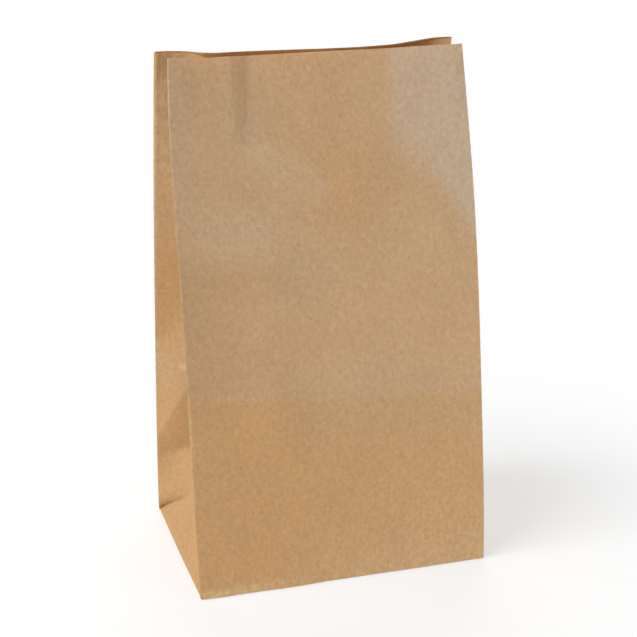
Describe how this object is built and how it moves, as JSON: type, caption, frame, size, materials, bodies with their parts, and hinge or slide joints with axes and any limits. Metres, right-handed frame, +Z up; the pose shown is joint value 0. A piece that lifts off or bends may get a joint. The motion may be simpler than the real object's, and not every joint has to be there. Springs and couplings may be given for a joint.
{
  "type": "paper delivery bag",
  "caption": "Plain kraft paper delivery bag with a flat block bottom and folded-in side gussets, standing with its mouth pinched nearly shut; no handles, no print.",
  "frame": {"origin": "on the floor under the middle of the base", "axes": "+Z up from base to mouth, front panel towards -Y, width along X"},
  "size_m": [0.2, 0.1402, 0.346],
  "materials": {
    "kraft_paper": "uncoated brown kraft paper, matt, with fine fibres and faint creases"
  },
  "bodies": {
    "root": {"kraft_bag": "kraft_paper"}
  },
  "joints": []
}
